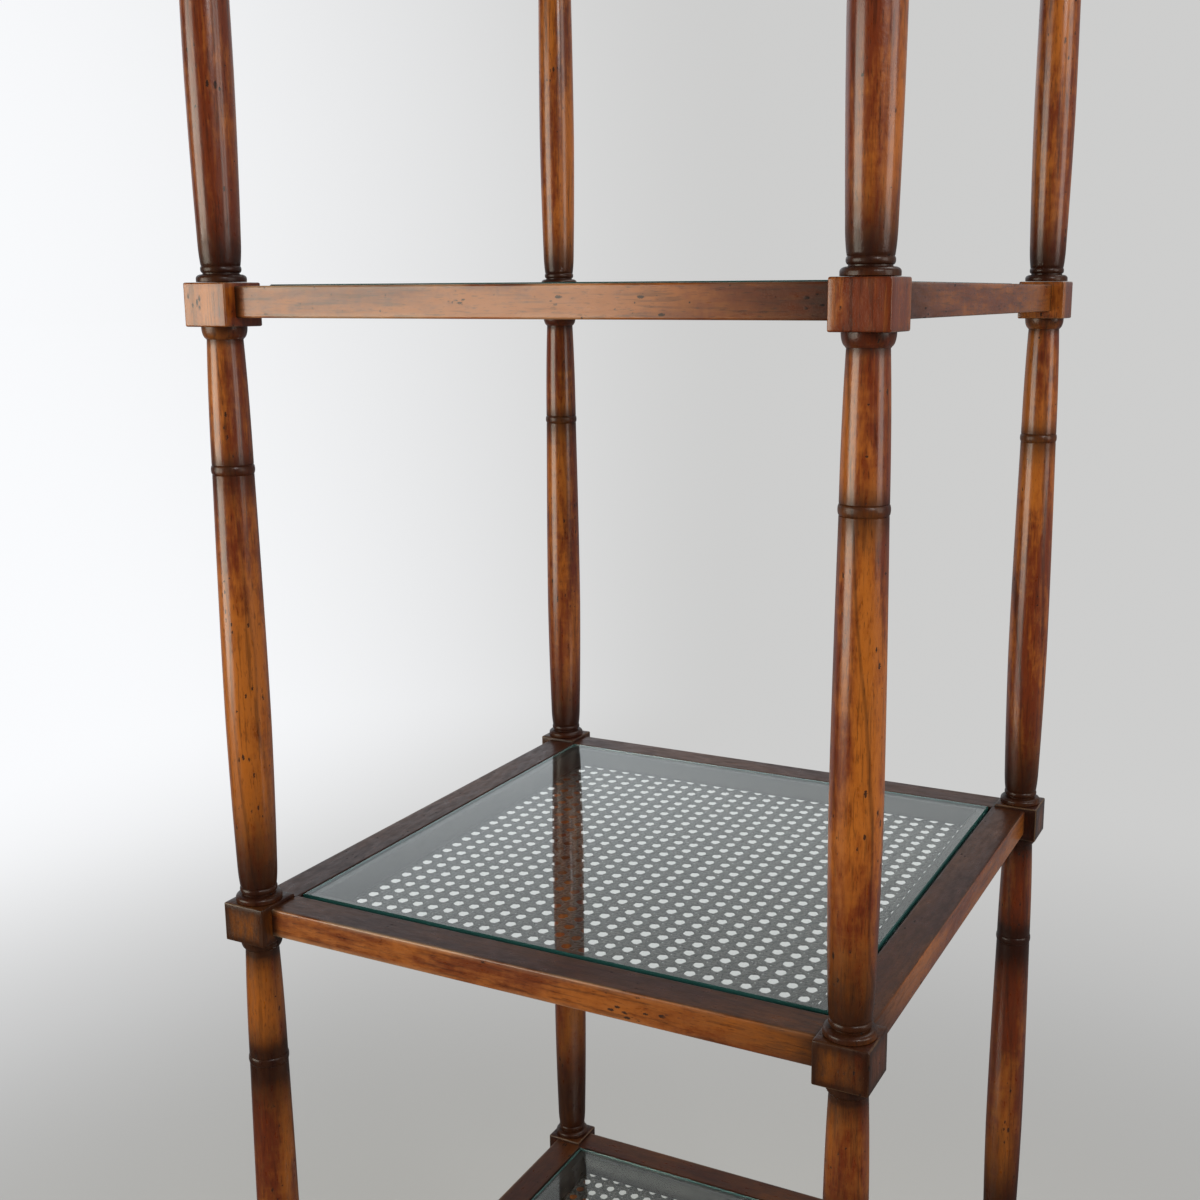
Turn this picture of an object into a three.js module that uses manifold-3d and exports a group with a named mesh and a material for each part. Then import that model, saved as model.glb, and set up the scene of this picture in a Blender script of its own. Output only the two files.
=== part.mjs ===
// A square open etagere: four turned posts in sections, five framed shelves of cane with loose glass on top.
// Millimetres, +Z up, origin on the floor at the middle of the stand, front towards -Y.
import * as THREE from 'three';
import { mergeGeometries, mergeVertices } from 'three/addons/utils/BufferGeometryUtils.js';
import Module from 'manifold-3d';

const wasm = await Module();
wasm.setup();

// The stand as a whole
const overallWidth = 458;
const tierCount = 5;
const tierSpacing = 413;

// The square blocks that the rails join
const blockWidth = 33.5;
const blockHeight = 27.2;
const blockArris = 1.1;

// The turned section between two blocks, from its base ring up to its collar
const ringDiameter = 31;
const ringBandHeight = 2.7;
const ringHeight = 4.7;
const grooveDiameter = 22.6;
const grooveHeight = 0.9;
const footBeadDiameter = 25.1;
const footBeadHeight = 4.5;
const ankleDiameter = 24.2;
const shinDiameter = 26.6;
const shinRise = 28;
const bulgeDiameter = 29.8;
const bulgeRise = 125;
const midBeadDiameter = 27.6;
const midBeadHeight = 6.6;
const midBeadDrop = 90.5;
const waistDiameter = 26.4;
const neckDiameter = 22.6;
const collarDiameter = 28.4;
const collarHeight = 7.5;

// Where each curve of a turning bends, as shares of the way out and of the way up between its ends
const ankleSwellShares = [0.88, 0.4];
const shinSwellShares = [0.8, 0.5];
const bulgeTaperShares = [0, 0.35];
const waistTaperShares = [0.12, 0.55];
const footSwellShares = [1, 0.35];
const urnRiseShares = [1, 0];
const urnShoulderShares = [0, 1];

// Where the bead above the groove reaches its full width, as shares of its height
const beadCrownShares = [0.25, 0.75];

// How far a tenon lies above or below the middle of its rail, as a share of the height left over
const tenonLevelShare = 0.38;

// The dowel pin below each section, which enters the block under it
const pinDiameter = 10;
const pinLength = 12;

// The turned feet under the lowest blocks
const footHeight = 110;
const toeDiameter = 25;
const toeHeight = 18;
const toePadDiameter = 17;
const footAnkleDiameter = 17.5;
const footAnkleRise = 22;
const footBulgeDiameter = 27;
const footBulgeRise = 82;

// The finials above the highest blocks
const finialHeight = 64;
const finialStemDiameter = 13;
const finialStemRise = 17;
const finialBulgeDiameter = 26;
const finialBulgeRise = 33;
const finialTipDiameter = 7;
const finialTipRise = 52;
const finialKnobDiameter = 11.5;

// The rails and their stub tenons
const railHeight = 19.5;
const railWidth = 26.5;
const railRecess = 9;
const railDrop = 2.2;
const railArris = 1.1;
const tenonLength = 9;
const tenonThickness = 10;
const tenonHeight = 6.5;

// The loose glass
const glassThickness = 5;
const glassProud = 1;
const glassMargin = 2;
const glassArris = 0.7;

// The cane panel: a mitred frame, bevelled inside and grooved underneath, and the cane wedged in the groove
const frameWidth = 16.2;
const frameThickness = 13;
const frameBevel = 4;
const caneGrooveInset = 6;
const caneGrooveWidth = 3.4;
const caneGrooveDepth = 4;
const caneThickness = 1.4;
const caneHolesAcross = 6;
const caneStrandWidth = 9;

// Gaps where pieces meet, how far a cut runs past its piece, and points closer than this are one
const seatGap = 0.3;
const overrun = 2;
const samePoint = 0.0001;

// Facets round a turning, and steps along its curves
const latheSides = 12;
const collarSteps = 2;
const beadSteps = 3;
const swellSteps = 2;
const taperSteps = 2;
const turningSteps = 3;
const squareSides = 4;

const half = 0.5;
const quarterTurn = Math.PI / 2;

// Places worked out from the sizes
const postPlace = (overallWidth - blockWidth) * half;
const blockInner = postPlace - blockWidth * half;
const railOuter = overallWidth * half - railRecess;
const railInner = railOuter - railWidth;
const railMiddle = (railOuter + railInner) * half;
const sectionHeight = tierSpacing - blockHeight;
const railTopRise = blockHeight * half - railDrop;
const glassHalf = railInner - glassMargin;
const frameOuter = railInner - seatGap;
const frameInner = frameOuter - frameWidth;
const frameTopRise = railTopRise + glassProud - glassThickness - seatGap;
const frameBottomRise = frameTopRise - frameThickness;
const tenonOffset = (railHeight - tenonHeight) * tenonLevelShare;

const corners = [
  { name: 'front_left', sx: -1, sy: -1 },
  { name: 'front_right', sx: 1, sy: -1 },
  { name: 'back_right', sx: 1, sy: 1 },
  { name: 'back_left', sx: -1, sy: 1 },
];
const tiers = Array.from({ length: tierCount }, (_, index) => ({
  label: index + 1,
  height: footHeight + blockHeight * half + index * tierSpacing,
}));

// Solids for cutting and joining

function toSolid(geometry) {
  const plain = geometry.clone();
  plain.deleteAttribute('normal');
  plain.deleteAttribute('uv');
  const merged = mergeVertices(plain, samePoint);
  const vertProperties = new Float32Array(merged.attributes.position.array);
  const triVerts = new Uint32Array(merged.index.array);
  return new wasm.Manifold(new wasm.Mesh({ numProp: 3, vertProperties, triVerts }));
}

function toGeometry(solid) {
  const mesh = solid.getMesh();
  const geometry = new THREE.BufferGeometry();
  geometry.setAttribute('position', new THREE.BufferAttribute(new Float32Array(mesh.vertProperties), 3));
  geometry.setIndex(new THREE.BufferAttribute(new Uint32Array(mesh.triVerts), 1));
  geometry.computeVertexNormals();
  return geometry;
}

function box(low, high) {
  const size = low.map((value, axis) => high[axis] - value);
  const middle = low.map((value, axis) => (value + high[axis]) * half);
  return new THREE.BoxGeometry(...size).translate(...middle);
}

// Turned outlines: points are (radius, height), drawn from the bottom up

function ellipsePoints(centreRadius, centreHeight, reach, rise, fromAngle, toAngle, steps) {
  const curve = new THREE.EllipseCurve(centreRadius, centreHeight, reach, rise, fromAngle, toAngle);
  return curve.getPoints(steps);
}

function baseRing(bottom) {
  return [
    new THREE.Vector2(ringDiameter * half, bottom),
    new THREE.Vector2(ringDiameter * half, bottom + ringBandHeight),
    new THREE.Vector2(grooveDiameter * half, bottom + ringHeight),
  ];
}

function footBead(bottom) {
  const root = grooveDiameter * half;
  const crown = footBeadDiameter * half;
  const ankle = ankleDiameter * half;
  return [
    new THREE.Vector2(root, bottom),
    ...beadCrownShares.map((share) => new THREE.Vector2(crown, bottom + footBeadHeight * share)),
    new THREE.Vector2(ankle, bottom + footBeadHeight),
  ];
}

function midBead(middle) {
  const waist = waistDiameter * half;
  const reach = midBeadDiameter * half - waist;
  return ellipsePoints(waist, middle, reach, midBeadHeight * half, -quarterTurn, quarterTurn, beadSteps);
}

function collar(top) {
  const neck = neckDiameter * half;
  const reach = collarDiameter * half - neck;
  return ellipsePoints(neck, top, reach, collarHeight, -quarterTurn, 0, collarSteps);
}

function bend(from, to, [outShare, upShare], steps) {
  const control = new THREE.Vector2(
    THREE.MathUtils.lerp(from.x, to.x, outShare),
    THREE.MathUtils.lerp(from.y, to.y, upShare),
  );
  return new THREE.QuadraticBezierCurve(from, control, to).getPoints(steps);
}

function shaft(bottom, beadMiddle, top) {
  const ankle = new THREE.Vector2(ankleDiameter * half, bottom);
  const shin = new THREE.Vector2(shinDiameter * half, shinRise);
  const bulge = new THREE.Vector2(bulgeDiameter * half, bulgeRise);
  const lowWaist = new THREE.Vector2(waistDiameter * half, beadMiddle - midBeadHeight * half);
  const highWaist = new THREE.Vector2(waistDiameter * half, beadMiddle + midBeadHeight * half);
  const neck = new THREE.Vector2(neckDiameter * half, top);
  return [
    ...bend(ankle, shin, ankleSwellShares, swellSteps),
    ...bend(shin, bulge, shinSwellShares, swellSteps),
    ...bend(bulge, lowWaist, bulgeTaperShares, taperSteps),
    ...midBead(beadMiddle),
    ...bend(highWaist, neck, waistTaperShares, taperSteps),
  ];
}

function pinOutline() {
  const radius = pinDiameter * half;
  return [
    new THREE.Vector2(0, -pinLength),
    new THREE.Vector2(radius, -pinLength),
    new THREE.Vector2(radius, seatGap),
  ];
}

function turn(points) {
  const outline = points.filter(
    (point, index) => index === 0 || point.distanceTo(points[index - 1]) > samePoint,
  );
  return new THREE.LatheGeometry(outline, latheSides).rotateX(quarterTurn);
}

// The block on top of a foot or a section, with its mortises and the bore for the next pin

function blockSolid(bottom, corner) {
  const flat = blockWidth * half - blockArris;
  const outline = new THREE.Shape();
  outline.moveTo(-flat, -flat + blockArris);
  outline.lineTo(-flat + blockArris, -flat);
  outline.lineTo(flat - blockArris, -flat);
  outline.lineTo(flat, -flat + blockArris);
  outline.lineTo(flat, flat - blockArris);
  outline.lineTo(flat - blockArris, flat);
  outline.lineTo(-flat + blockArris, flat);
  outline.lineTo(-flat, flat - blockArris);
  const geometry = new THREE.ExtrudeGeometry(outline, {
    depth: blockHeight - 2 * blockArris,
    bevelThickness: blockArris,
    bevelSize: blockArris,
    bevelSegments: 1,
  }).translate(0, 0, bottom + blockArris);
  const top = bottom + blockHeight;
  const bore = new THREE.CylinderGeometry(
    pinDiameter * half + seatGap,
    pinDiameter * half + seatGap,
    pinLength + seatGap + overrun,
    latheSides,
  ).rotateX(quarterTurn).translate(0, 0, top + (overrun - pinLength - seatGap) * half);
  return toSolid(geometry)
    .subtract(toSolid(bore))
    .subtract(toSolid(mortise(corner, bottom, 'x')))
    .subtract(toSolid(mortise(corner, bottom, 'y')));
}

function mortise(corner, blockBottom, along) {
  const inward = railMiddle - postPlace;
  const across = tenonThickness * half + seatGap;
  const middle = blockBottom + blockHeight - railDrop - railHeight * half + tenonLevel(along);
  const rise = tenonHeight * half + seatGap;
  const face = blockWidth * half + overrun;
  const deep = blockWidth * half - tenonLength - seatGap;
  const [runSign, sideSign] = along === 'x' ? [corner.sx, corner.sy] : [corner.sy, corner.sx];
  const run = [-runSign * face, -runSign * deep].sort((a, b) => a - b);
  const side = [sideSign * inward - across, sideSign * inward + across];
  const [x, y] = along === 'x' ? [run, side] : [side, run];
  return box([x[0], y[0], middle - rise], [x[1], y[1], middle + rise]);
}

// Rails along X are tenoned low and rails along Y high, so that their tenons pass inside the block
function tenonLevel(along) {
  return along === 'x' ? -tenonOffset : tenonOffset;
}

// Each piece's geometry

function sectionGeometry(corner) {
  const base = seatGap;
  const beadBottom = base + ringHeight + grooveHeight;
  const shaftBottom = beadBottom + footBeadHeight;
  const beadMiddle = sectionHeight - midBeadDrop;
  const collarBottom = sectionHeight - collarHeight;
  const outline = [
    ...pinOutline(),
    ...baseRing(base),
    ...footBead(beadBottom),
    ...shaft(shaftBottom, beadMiddle, collarBottom),
    ...collar(sectionHeight),
    new THREE.Vector2(collarDiameter * half, sectionHeight + blockArris),
    new THREE.Vector2(0, sectionHeight + blockArris),
  ];
  return toGeometry(toSolid(turn(outline)).add(blockSolid(sectionHeight, corner)));
}

function footGeometry(corner) {
  const bulge = new THREE.Vector2(footBulgeDiameter * half, footBulgeRise);
  const ankle = new THREE.Vector2(footAnkleDiameter * half, footAnkleRise);
  const neck = new THREE.Vector2(neckDiameter * half, footHeight - collarHeight);
  const outline = [
    new THREE.Vector2(0, 0),
    new THREE.Vector2(toePadDiameter * half, 0),
    ...ellipsePoints(toePadDiameter * half, toeHeight * half, (toeDiameter - toePadDiameter) * half,
      toeHeight * half, -quarterTurn, quarterTurn, turningSteps),
    ...bend(ankle, bulge, footSwellShares, turningSteps),
    neck,
    ...collar(footHeight),
    new THREE.Vector2(collarDiameter * half, footHeight + blockArris),
    new THREE.Vector2(0, footHeight + blockArris),
  ];
  return toGeometry(toSolid(turn(outline)).add(blockSolid(footHeight, corner)));
}

function finialGeometry() {
  const base = seatGap;
  const stem = new THREE.Vector2(finialStemDiameter * half, finialStemRise);
  const tip = new THREE.Vector2(finialTipDiameter * half, finialTipRise);
  const bulge = new THREE.Vector2(finialBulgeDiameter * half, finialBulgeRise);
  const knob = finialKnobDiameter * half;
  const knobRise = (finialHeight - finialTipRise) * half;
  const outline = [
    ...pinOutline(),
    ...baseRing(base),
    ...footBead(base + ringHeight + grooveHeight),
    stem,
    ...bend(stem, bulge, urnRiseShares, turningSteps),
    ...bend(bulge, tip, urnShoulderShares, turningSteps),
    ...ellipsePoints(0, finialTipRise + knobRise, knob, knobRise,
      -quarterTurn * half, quarterTurn, turningSteps),
  ];
  return toGeometry(toSolid(turn(outline)));
}

function railGeometry(along) {
  const end = blockInner - seatGap;
  const section = roundedRectangle(railWidth, railHeight, railArris);
  const bar = new THREE.ExtrudeGeometry(section, { depth: 2 * end, bevelEnabled: false })
    .translate(0, 0, -end)
    .rotateX(quarterTurn)
    .rotateZ(quarterTurn)
    .translate(0, -railMiddle, 0);
  const level = tenonLevel(along);
  const tenonHalf = end + seatGap + tenonLength;
  const tenon = box(
    [-tenonHalf, -railMiddle - tenonThickness * half, level - tenonHeight * half],
    [tenonHalf, -railMiddle + tenonThickness * half, level + tenonHeight * half],
  );
  const wedges = [-1, 1].map((side) => mitreWedge(side));
  const body = wedges.reduce((solid, wedge) => solid.subtract(toSolid(wedge)), toSolid(bar));
  return toGeometry(body.add(toSolid(tenon)));
}

// The corner of a rail beyond the mitre where its inner edge meets the next rail's
function mitreWedge(side) {
  const depth = railWidth * half;
  return new THREE.BoxGeometry(depth, railWidth * 2, railHeight + 2 * overrun)
    .translate(depth * half - seatGap * half, 0, 0)
    .rotateZ(side * quarterTurn * half + (side < 0 ? Math.PI : 0))
    .translate(side * railInner, -railInner, 0);
}

function roundedRectangle(width, height, arris) {
  const x = width * half;
  const y = height * half;
  const outline = new THREE.Shape();
  outline.moveTo(-x + arris, -y);
  outline.lineTo(x - arris, -y);
  outline.lineTo(x, -y + arris);
  outline.lineTo(x, y - arris);
  outline.lineTo(x - arris, y);
  outline.lineTo(-x + arris, y);
  outline.lineTo(-x, y - arris);
  outline.lineTo(-x, -y + arris);
  return outline;
}

function squareOutline(reach) {
  return [
    new THREE.Vector2(-reach, -reach),
    new THREE.Vector2(reach, -reach),
    new THREE.Vector2(reach, reach),
    new THREE.Vector2(-reach, reach),
  ];
}

function squareRing(outer, inner, bottom, height) {
  const shape = new THREE.Shape(squareOutline(outer));
  shape.holes.push(new THREE.Path(squareOutline(inner)));
  return new THREE.ExtrudeGeometry(shape, { depth: height, bevelEnabled: false }).translate(0, 0, bottom);
}

function caneFrameGeometry() {
  const grooveInner = frameInner + caneGrooveInset;
  const ring = squareRing(frameOuter, frameInner, frameBottomRise, frameThickness);
  const groove = squareRing(grooveInner + caneGrooveWidth, grooveInner,
    frameBottomRise - overrun, caneGrooveDepth + overrun);
  return toGeometry(toSolid(ring).subtract(toSolid(groove)).subtract(toSolid(bevelFunnel())));
}

// The square funnel that is cut from the frame to bevel its inner top edge
function bevelFunnel() {
  const wide = frameInner + frameBevel + overrun;
  const narrow = frameInner - overrun;
  const tall = frameBevel + 2 * overrun;
  return new THREE.CylinderGeometry(wide * Math.SQRT2, narrow * Math.SQRT2, tall, squareSides)
    .rotateY(quarterTurn * half)
    .rotateX(quarterTurn)
    .translate(0, 0, frameTopRise - frameBevel * half);
}

function canePanelGeometry() {
  const rimInner = frameInner + caneGrooveInset + seatGap;
  const rimOuter = rimInner + caneGrooveWidth - 2 * seatGap;
  const top = frameBottomRise - seatGap;
  const bottom = top - caneThickness;
  const tray = box([-rimOuter, -rimOuter, bottom], [rimOuter, rimOuter, top + caneGrooveDepth]);
  const pocket = box([-rimInner, -rimInner, top], [rimInner, rimInner, top + caneGrooveDepth + overrun]);
  const pitch = (2 * frameInner + caneStrandWidth) / caneHolesAcross;
  const holeHalf = (pitch - caneStrandWidth) * half;
  const holes = [];
  for (let row = 0; row < caneHolesAcross; row += 1) {
    for (let column = 0; column < caneHolesAcross; column += 1) {
      const x = (column - (caneHolesAcross - 1) * half) * pitch;
      const y = (row - (caneHolesAcross - 1) * half) * pitch;
      const low = [x - holeHalf, y - holeHalf, bottom - overrun];
      const high = [x + holeHalf, y + holeHalf, top + overrun];
      holes.push(box(low, high));
    }
  }
  return toGeometry(toSolid(tray).subtract(toSolid(pocket)).subtract(toSolid(mergeGeometries(holes))));
}

function glassGeometry() {
  const outline = new THREE.Shape(squareOutline(glassHalf - glassArris));
  return new THREE.ExtrudeGeometry(outline, {
    depth: glassThickness - 2 * glassArris,
    bevelThickness: glassArris,
    bevelSize: glassArris,
    bevelSegments: 1,
  }).translate(0, 0, railTopRise + glassProud - glassThickness + glassArris);
}

// Finishes

function mahogany() {
  return new THREE.MeshStandardMaterial({ color: 0x6b3419, roughness: 0.32, metalness: 0 });
}

function darkMahogany() {
  return new THREE.MeshStandardMaterial({ color: 0x2c1a12, roughness: 0.5, metalness: 0 });
}

function blackCane() {
  return new THREE.MeshStandardMaterial({ color: 0x1b1a18, roughness: 0.6, metalness: 0 });
}

function clearGlass() {
  return new THREE.MeshStandardMaterial({
    color: 0xbfd8cf, roughness: 0.04, metalness: 0, transparent: true, opacity: 0.3,
  });
}

// Putting the stand together

const etagere = new THREE.Group();

function place(name, geometry, material, x, y, z, angle = 0) {
  const mesh = new THREE.Mesh(geometry, material);
  mesh.name = name;
  mesh.position.set(x, y, z);
  mesh.rotation.z = angle;
  etagere.add(mesh);
}

for (const corner of corners) {
  const x = corner.sx * postPlace;
  const y = corner.sy * postPlace;
  const section = sectionGeometry(corner);
  place(`foot_${corner.name}`, footGeometry(corner), mahogany(), x, y, 0);
  for (const tier of tiers.slice(0, -1)) {
    const blockTop = tier.height + blockHeight * half;
    place(`post_section_${tier.label}_${corner.name}`, section, mahogany(), x, y, blockTop);
  }
  const top = tiers[tierCount - 1].height + blockHeight * half;
  place(`finial_${corner.name}`, finialGeometry(), mahogany(), x, y, top);
}

const railRise = railTopRise - railHeight * half;
const railSides = [
  { name: 'front', along: 'x', angle: 0 },
  { name: 'right', along: 'y', angle: quarterTurn },
  { name: 'back', along: 'x', angle: Math.PI },
  { name: 'left', along: 'y', angle: -quarterTurn },
];
const railShapes = { x: railGeometry('x'), y: railGeometry('y') };
const caneFrame = caneFrameGeometry();
const canePanel = canePanelGeometry();
const glassPane = glassGeometry();

for (const tier of tiers) {
  for (const side of railSides) {
    const shape = railShapes[side.along];
    place(`rail_${tier.label}_${side.name}`, shape, mahogany(), 0, 0, tier.height + railRise, side.angle);
  }
  place(`cane_frame_${tier.label}`, caneFrame, darkMahogany(), 0, 0, tier.height);
  place(`cane_panel_${tier.label}`, canePanel, blackCane(), 0, 0, tier.height);
  place(`glass_${tier.label}`, glassPane, clearGlass(), 0, 0, tier.height);
}

export default etagere;
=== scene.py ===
"""A square etagere of turned mahogany with cane shelves and loose glass. Metres, +Z up, front towards -Y."""
import math

import bpy
import numpy as np
from mathutils import Matrix, Vector


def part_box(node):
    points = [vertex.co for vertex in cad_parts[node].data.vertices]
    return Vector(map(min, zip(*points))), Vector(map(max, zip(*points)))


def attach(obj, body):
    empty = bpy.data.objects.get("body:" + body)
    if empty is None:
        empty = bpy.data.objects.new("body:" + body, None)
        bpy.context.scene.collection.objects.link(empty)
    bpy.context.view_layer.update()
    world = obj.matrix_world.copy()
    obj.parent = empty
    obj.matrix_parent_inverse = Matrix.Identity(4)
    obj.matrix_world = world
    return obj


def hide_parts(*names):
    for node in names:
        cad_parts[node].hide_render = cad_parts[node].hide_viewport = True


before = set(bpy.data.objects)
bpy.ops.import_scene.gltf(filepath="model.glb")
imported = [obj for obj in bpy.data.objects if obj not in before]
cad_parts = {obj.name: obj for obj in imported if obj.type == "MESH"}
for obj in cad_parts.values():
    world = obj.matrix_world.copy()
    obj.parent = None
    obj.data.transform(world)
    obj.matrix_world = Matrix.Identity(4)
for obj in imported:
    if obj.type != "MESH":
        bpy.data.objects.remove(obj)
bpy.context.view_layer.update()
mm = 0.001

# The camera stands about 0.75 m from the nearest post, level with the fourth shelf, and looks a little down.
# Its place, turn and focal length come from the corners of the blocks in the photograph.
photo_width = 1200
focal_length_pixels = 1457.7
optical_centre_pixels = (646.9, 596.1)
film_width = 36
eye = Vector((0.4469, -0.9315, 1.3679))
turned_left = math.radians(26.632)
looking_down = math.radians(11.694)
leaning = math.radians(0.219)

forward = Vector((-math.sin(turned_left) * math.cos(looking_down),
                  math.cos(turned_left) * math.cos(looking_down),
                  -math.sin(looking_down)))
level_right = Vector((math.cos(turned_left), math.sin(turned_left), 0))
level_down = forward.cross(level_right)
right = level_right * math.cos(leaning) + level_down * math.sin(leaning)
down = level_down * math.cos(leaning) - level_right * math.sin(leaning)


def in_scene(name, data):
    """An object with the given mesh, lamp or camera, put in the scene."""
    made = bpy.data.objects.new(name, data)
    bpy.context.scene.collection.objects.link(made)
    return made


camera = in_scene("camera", bpy.data.cameras.new("camera"))
camera.matrix_world = Matrix.Translation(eye) @ Matrix((right, -down, -forward)).transposed().to_4x4()
camera.data.sensor_width = film_width
camera.data.lens = film_width * focal_length_pixels / photo_width
camera.data.shift_x = 0.5 - optical_centre_pixels[0] / photo_width
camera.data.shift_y = optical_centre_pixels[1] / photo_width - 0.5
camera.data.clip_start = 0.01
bpy.context.scene.camera = camera

# The stage is a pale floor that melts into a pale surround, brighter on the left than on the right.
# Behind the camera the room is dark, which the lacquer mirrors. Four soft lamps light the stand from the
# front left, the right and above.
pale_right = (0.615, 0.615, 0.61)
pale_left = (0.96, 0.97, 0.99)
pale_span = (0.70, 1.03)
back_share = 0.35
mirrored_shift = 0.15
mirrored_tint = (0.92, 1.0, 1.05)
whitened_by_glass = 0.3
dark_room = (0.035, 0.03, 0.028)
# where the mirrored room darkens: from, to, and how dark it is at each
dark_below = (0.18, -0.04, 0.0, 0.72)
dark_above = (0.3, 0.5, 0.0, 0.72)
dark_in_front = (0.45, -0.1, 0.0, 1.0)
dark_on_the_right = (-0.05, 0.3, 0.0, 0.55)
room_light = 0.50
pale_floor = (0.46, 0.46, 0.45)
mirrored_floor = 0.2
floor_reach = 60.0
square = ((-1, -1), (1, -1), (1, 1), (-1, 1))
# metres from the stand between which the floor melts into the haze, and the haze lightens and evens out
floor_melt = (0.7, 2.0)
haze_shade = (1.0, 3.0, 0.70, 1.0)
haze_evenness = (1.2, 4.0, 0.72, 1.0)


def add(tree, kind, *inputs, **settings):
    """A shader node with its settings made and its inputs joined or filled in order."""
    node = tree.nodes.new(kind)
    for name, value in settings.items():
        setattr(node, name, value)
    for socket, value in zip(node.inputs, inputs):
        feed(tree, socket, value)
    return node


def feed(tree, socket, value):
    """Joins a socket to a node's output, or sets it to a value."""
    if value is None:
        return
    if isinstance(value, bpy.types.NodeSocket):
        tree.links.new(value, socket)
    elif isinstance(value, tuple) and len(value) == 3 and socket.type == "RGBA":
        socket.default_value = (*value, 1)
    else:
        socket.default_value = value


def maths(tree, operation, a, b=None, c=None):
    """Combines up to three values."""
    return add(tree, "ShaderNodeMath", a, b, c, operation=operation).outputs[0]


def between(tree, value, low, high, to_low=0.0, to_high=1.0):
    """Brings a value from one span into another, smoothly and without leaving it."""
    node = add(tree, "ShaderNodeMapRange", value, low, high, to_low, to_high, interpolation_type="SMOOTHSTEP")
    return node.outputs[0]


def mixed(tree, share, a, b, blend="MIX"):
    """The colour that lies a share of the way from a to b."""
    node = add(tree, "ShaderNodeMix", data_type="RGBA", blend_type=blend)
    feed(tree, node.inputs[0], share)
    feed(tree, node.inputs[6], a)
    feed(tree, node.inputs[7], b)
    return node.outputs[2]


def mirror_rays(tree):
    """1 for rays that a surface mirrors, and 0 for the others, also for those that glass lets through."""
    path = add(tree, "ShaderNodeLightPath").outputs
    not_through_glass = maths(tree, "SUBTRACT", 1.0, path["Is Transmission Ray"])
    return maths(tree, "MULTIPLY", path["Is Glossy Ray"], not_through_glass)


def surround(tree, direction, shade=1.0):
    """The surround's colour in a direction: pale to the eye and through glass, partly dark in mirrors."""
    side = add(tree, "ShaderNodeSeparateXYZ", direction).outputs
    mirrored = mirror_rays(tree)
    through_glass = add(tree, "ShaderNodeLightPath").outputs["Is Transmission Ray"]
    towards_left = maths(tree, "SUBTRACT", maths(tree, "MULTIPLY", side[1], back_share), side[0])
    towards_left = maths(tree, "ADD", towards_left, maths(tree, "MULTIPLY", mirrored, mirrored_shift))
    pale = mixed(tree, between(tree, towards_left, *pale_span), pale_right, pale_left)
    tinted = mixed(tree, 1.0, pale, mirrored_tint, "MULTIPLY")
    pale = mixed(tree, mirrored, pale, tinted)
    pale = mixed(tree, shade, (0, 0, 0), pale)
    pale = mixed(tree, maths(tree, "MULTIPLY", through_glass, whitened_by_glass), pale, (1, 1, 1))
    dark = maths(tree, "MAXIMUM", between(tree, side[2], *dark_below), between(tree, side[2], *dark_above))
    dark = maths(tree, "MAXIMUM", dark, between(tree, side[1], *dark_in_front))
    dark = maths(tree, "MAXIMUM", dark, between(tree, side[0], *dark_on_the_right))
    return mixed(tree, maths(tree, "MULTIPLY", dark, mirrored), pale, dark_room)


def new_material(name):
    """A new material with its node tree and its Principled shader."""
    made = bpy.data.materials.new(name)
    made.use_nodes = True
    return made, made.node_tree, made.node_tree.nodes["Principled BSDF"]


def seen_directly(tree):
    """1 for camera, mirror and glass rays, and 0 for the light that falls on surfaces."""
    path = add(tree, "ShaderNodeLightPath").outputs
    seen = maths(tree, "MAXIMUM", path["Is Camera Ray"], path["Is Glossy Ray"])
    return maths(tree, "MAXIMUM", seen, path["Is Transmission Ray"])


world = bpy.data.worlds.new("surround")
bpy.context.scene.world = world
world.use_nodes = True
tree = world.node_tree
tree.nodes.clear()
direction = add(tree, "ShaderNodeTexCoord").outputs["Generated"]
seen_colour = surround(tree, direction)
level = (room_light, room_light, room_light)
sky = add(tree, "ShaderNodeBackground", mixed(tree, seen_directly(tree), level, seen_colour))
tree.links.new(sky.outputs[0], add(tree, "ShaderNodeOutputWorld").inputs["Surface"])

floor_mesh = bpy.data.meshes.new("floor")
floor_corners = [(x * floor_reach, y * floor_reach, 0) for x, y in square]
floor_mesh.from_pydata(floor_corners, [], [(0, 1, 2, 3)])
floor = in_scene("floor", floor_mesh)
material, tree, surface = new_material("pale floor")
tree.nodes.clear()
place = add(tree, "ShaderNodeNewGeometry").outputs["Position"]
distance = add(tree, "ShaderNodeVectorMath", place, operation="LENGTH").outputs["Value"]
outward = add(tree, "ShaderNodeVectorMath", place, operation="NORMALIZE").outputs["Vector"]
evened = add(tree, "ShaderNodeVectorMath", outward, operation="SCALE")
feed(tree, evened.inputs["Scale"], between(tree, distance, *haze_evenness))
mirrored = mirror_rays(tree)
dimmed = tuple(tone * mirrored_floor for tone in pale_floor)
powder = add(tree, "ShaderNodeBsdfDiffuse", mixed(tree, mirrored, pale_floor, dimmed))
shade = between(tree, distance, *haze_shade)
haze = add(tree, "ShaderNodeEmission", surround(tree, evened.outputs["Vector"], shade))
melt = maths(tree, "MULTIPLY", between(tree, distance, *floor_melt), seen_directly(tree))
blend = add(tree, "ShaderNodeMixShader", melt, powder.outputs[0], haze.outputs[0])
tree.links.new(blend.outputs[0], add(tree, "ShaderNodeOutputMaterial").inputs["Surface"])
floor_mesh.materials.append(material)

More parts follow.
